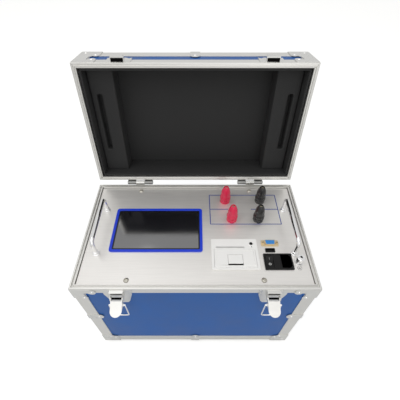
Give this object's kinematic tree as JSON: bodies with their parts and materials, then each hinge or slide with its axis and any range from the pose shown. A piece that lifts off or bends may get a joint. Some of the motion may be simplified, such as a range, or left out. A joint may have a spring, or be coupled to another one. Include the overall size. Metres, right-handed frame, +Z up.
{
  "type": "transformer resistance tester",
  "caption": "Bench tester in a blue aluminium-trimmed flight case, with a sloping open lid, touch screen, printer, test terminals and mains inlet in its top panel.",
  "frame": {"origin": "centre of the case's footprint, in the plane of the feet's undersides", "axes": "+X to the user's right, +Y to the back of the case where the lid hinges, +Z up"},
  "size_m": [0.4276, 0.3746, 0.5113],
  "materials": {
    "blue_laminate": "satin blue laminate over thin plywood",
    "case_aluminium": "anodised extrusions, satin",
    "bracket_steel": "nickel plated pressings",
    "rivet_steel": "nickel plated",
    "foot_rubber": "matt black rubber",
    "rail_steel": "zinc plated sheet",
    "panel_aluminium": "brushed and clear anodised",
    "frame_blue": "satin blue frame",
    "screen_black": "dark glass, switched off",
    "display_parts": "display module and its board",
    "printer_white": "off white moulding",
    "black_plastic": "black moulding",
    "brass_contacts": "brass",
    "connector_gold": "yellow chromate plated shell",
    "connector_blue": "bright blue moulding",
    "terminal_red": "glossy red moulding",
    "terminal_black": "glossy black moulding",
    "bright_chrome": "polished chrome",
    "grip_rubber": "black coated grip",
    "transformer_iron": "laminated core and taped winding",
    "sink_aluminium": "extruded",
    "board_green": "green board with its parts",
    "lid_foam": "black closed-cell foam",
    "paper_white": "thermal paper"
  },
  "bodies": {
    "case": {"base_wall_boards": "blue_laminate", "base_floor_board": "blue_laminate", "base_rim_frame": "case_aluminium", "base_edge_trims": "case_aluminium", "base_brackets": "bracket_steel", "base_rivets": "rivet_steel", "rubber_feet": "foot_rubber", "panel_rails": "rail_steel", "control_panel": "panel_aluminium", "panel_screws": "rivet_steel", "screen_frame": "frame_blue", "touch_screen": "screen_black", "display_module": "display_parts", "printer_housing": "printer_white", "inlet_housing": "black_plastic", "inlet_pins": "brass_contacts", "serial_connector_shell": "connector_gold", "serial_connector_insert": "connector_blue", "usb_port": "black_plastic", "terminal_bases_red": "terminal_red", "terminal_bases_black": "terminal_black", "terminal_studs": "brass_contacts", "ground_terminal_base": "bright_chrome", "panel_handles": "bright_chrome", "latch_plates": "bracket_steel", "hinge_base_leaves": "bracket_steel", "hinge_pins": "rivet_steel", "side_handle_plates": "bracket_steel", "chassis_tray": "rail_steel", "power_transformer": "transformer_iron", "heat_sink": "sink_aluminium", "main_board": "board_green"},
    "lid": {"lid_boards": "blue_laminate", "lid_rim_frame": "case_aluminium", "lid_edge_trims": "case_aluminium", "lid_brackets": "bracket_steel", "lid_rivets": "rivet_steel", "lid_foam_lining": "lid_foam", "lid_foam_blocks": "lid_foam", "catch_plates": "bracket_steel", "hinge_lid_leaves": "bracket_steel"},
    "latch_lever_left": {"latch_lever_left": "bright_chrome"},
    "latch_lever_right": {"latch_lever_right": "bright_chrome"},
    "latch_pin_left": {"latch_pin_left": "bright_chrome"},
    "latch_pin_right": {"latch_pin_right": "bright_chrome"},
    "latch_bail_left": {"latch_bail_left": "bright_chrome"},
    "latch_bail_right": {"latch_bail_right": "bright_chrome"},
    "terminal_cap_red_1": {"terminal_cap_red_1": "terminal_red"},
    "terminal_cap_red_2": {"terminal_cap_red_2": "terminal_red"},
    "terminal_cap_black_1": {"terminal_cap_black_1": "terminal_black"},
    "terminal_cap_black_2": {"terminal_cap_black_2": "terminal_black"},
    "ground_cap": {"ground_cap": "bright_chrome"},
    "power_rocker": {"power_rocker": "black_plastic"},
    "printer_door": {"printer_door": "printer_white"},
    "printer_latch": {"printer_latch": "printer_white"},
    "feed_button": {"feed_button": "black_plastic"},
    "paper_roll": {"paper_roll": "paper_white"},
    "side_grip_left": {"side_grip_left": "grip_rubber"},
    "side_grip_right": {"side_grip_right": "grip_rubber"}
  },
  "joints": [
    {"name": "lid_hinge", "type": "hinge", "parent": "case", "child": "lid", "pos_m": [0, 0.122, 0.2682], "axis": [1, 0, 0], "range_deg": [0, 98]},
    {"name": "latch_lever_left_pivot", "type": "hinge", "parent": "case", "child": "latch_lever_left", "pos_m": [-0.1255, -0.124, 0.251], "axis": [1, 0, 0], "range_deg": [-70, 58]},
    {"name": "latch_pin_left_turn", "type": "hinge", "parent": "latch_lever_left", "child": "latch_pin_left", "pos_m": [-0.1255, -0.13077, 0.24233], "axis": [-1, 0, 0], "range_deg": [-70, 58]},
    {"name": "latch_bail_left_swing", "type": "hinge", "parent": "latch_pin_left", "child": "latch_bail_left", "pos_m": [-0.1255, -0.13077, 0.24233], "axis": [-1, 0, 0], "range_deg": [0, 180]},
    {"name": "latch_lever_right_pivot", "type": "hinge", "parent": "case", "child": "latch_lever_right", "pos_m": [0.1255, -0.124, 0.251], "axis": [1, 0, 0], "range_deg": [-70, 58]},
    {"name": "latch_pin_right_turn", "type": "hinge", "parent": "latch_lever_right", "child": "latch_pin_right", "pos_m": [0.1255, -0.13077, 0.24233], "axis": [-1, 0, 0], "range_deg": [-70, 58]},
    {"name": "latch_bail_right_swing", "type": "hinge", "parent": "latch_pin_right", "child": "latch_bail_right", "pos_m": [0.1255, -0.13077, 0.24233], "axis": [-1, 0, 0], "range_deg": [0, 180]},
    {"name": "terminal_cap_red_1_turn", "type": "hinge", "parent": "case", "child": "terminal_cap_red_1", "pos_m": [0.0597, 0.072, 0.29], "axis": [0, 0, 1], "continuous": true},
    {"name": "terminal_cap_red_2_turn", "type": "hinge", "parent": "case", "child": "terminal_cap_red_2", "pos_m": [0.0695, 0.025, 0.29], "axis": [0, 0, 1], "continuous": true},
    {"name": "terminal_cap_black_1_turn", "type": "hinge", "parent": "case", "child": "terminal_cap_black_1", "pos_m": [0.1293, 0.072, 0.29], "axis": [0, 0, 1], "continuous": true},
    {"name": "terminal_cap_black_2_turn", "type": "hinge", "parent": "case", "child": "terminal_cap_black_2", "pos_m": [0.1195, 0.025, 0.29], "axis": [0, 0, 1], "continuous": true},
    {"name": "ground_cap_turn", "type": "hinge", "parent": "case", "child": "ground_cap", "pos_m": [0.175, -0.06775, 0.276], "axis": [0, 0, 1], "continuous": true},
    {"name": "power_rocker_tip", "type": "hinge", "parent": "case", "child": "power_rocker", "pos_m": [0.1262, -0.06595, 0.2625], "axis": [-1, 0, 0], "range_deg": [0, 14]},
    {"name": "printer_door_hinge", "type": "hinge", "parent": "case", "child": "printer_door", "pos_m": [0.0685, -0.0768, 0.2665], "axis": [1, 0, 0], "range_deg": [0, 95]},
    {"name": "printer_latch_lift", "type": "hinge", "parent": "printer_door", "child": "printer_latch", "pos_m": [0.0685, -0.0536, 0.2669], "axis": [-1, 0, 0], "range_deg": [0, 30]},
    {"name": "feed_button_press", "type": "slide", "parent": "case", "child": "feed_button", "axis": [0, 0, -1], "range_m": [0, 0.0008], "stiffness_N_per_m": 200},
    {"name": "paper_roll_turn", "type": "hinge", "parent": "case", "child": "paper_roll", "pos_m": [0.0685, -0.05938, 0.24648], "axis": [1, 0, 0], "continuous": true},
    {"name": "side_grip_left_lift", "type": "hinge", "parent": "case", "child": "side_grip_left", "pos_m": [-0.2058, 0, 0.172], "axis": [0, 1, 0], "range_deg": [0, 90]},
    {"name": "side_grip_right_lift", "type": "hinge", "parent": "case", "child": "side_grip_right", "pos_m": [0.2058, 0, 0.172], "axis": [0, -1, 0], "range_deg": [0, 90]}
  ],
  "couplings": [
    {"joint": "latch_pin_left_turn", "follows": "latch_lever_left_pivot", "ratio": 1},
    {"joint": "latch_pin_right_turn", "follows": "latch_lever_right_pivot", "ratio": 1}
  ]
}
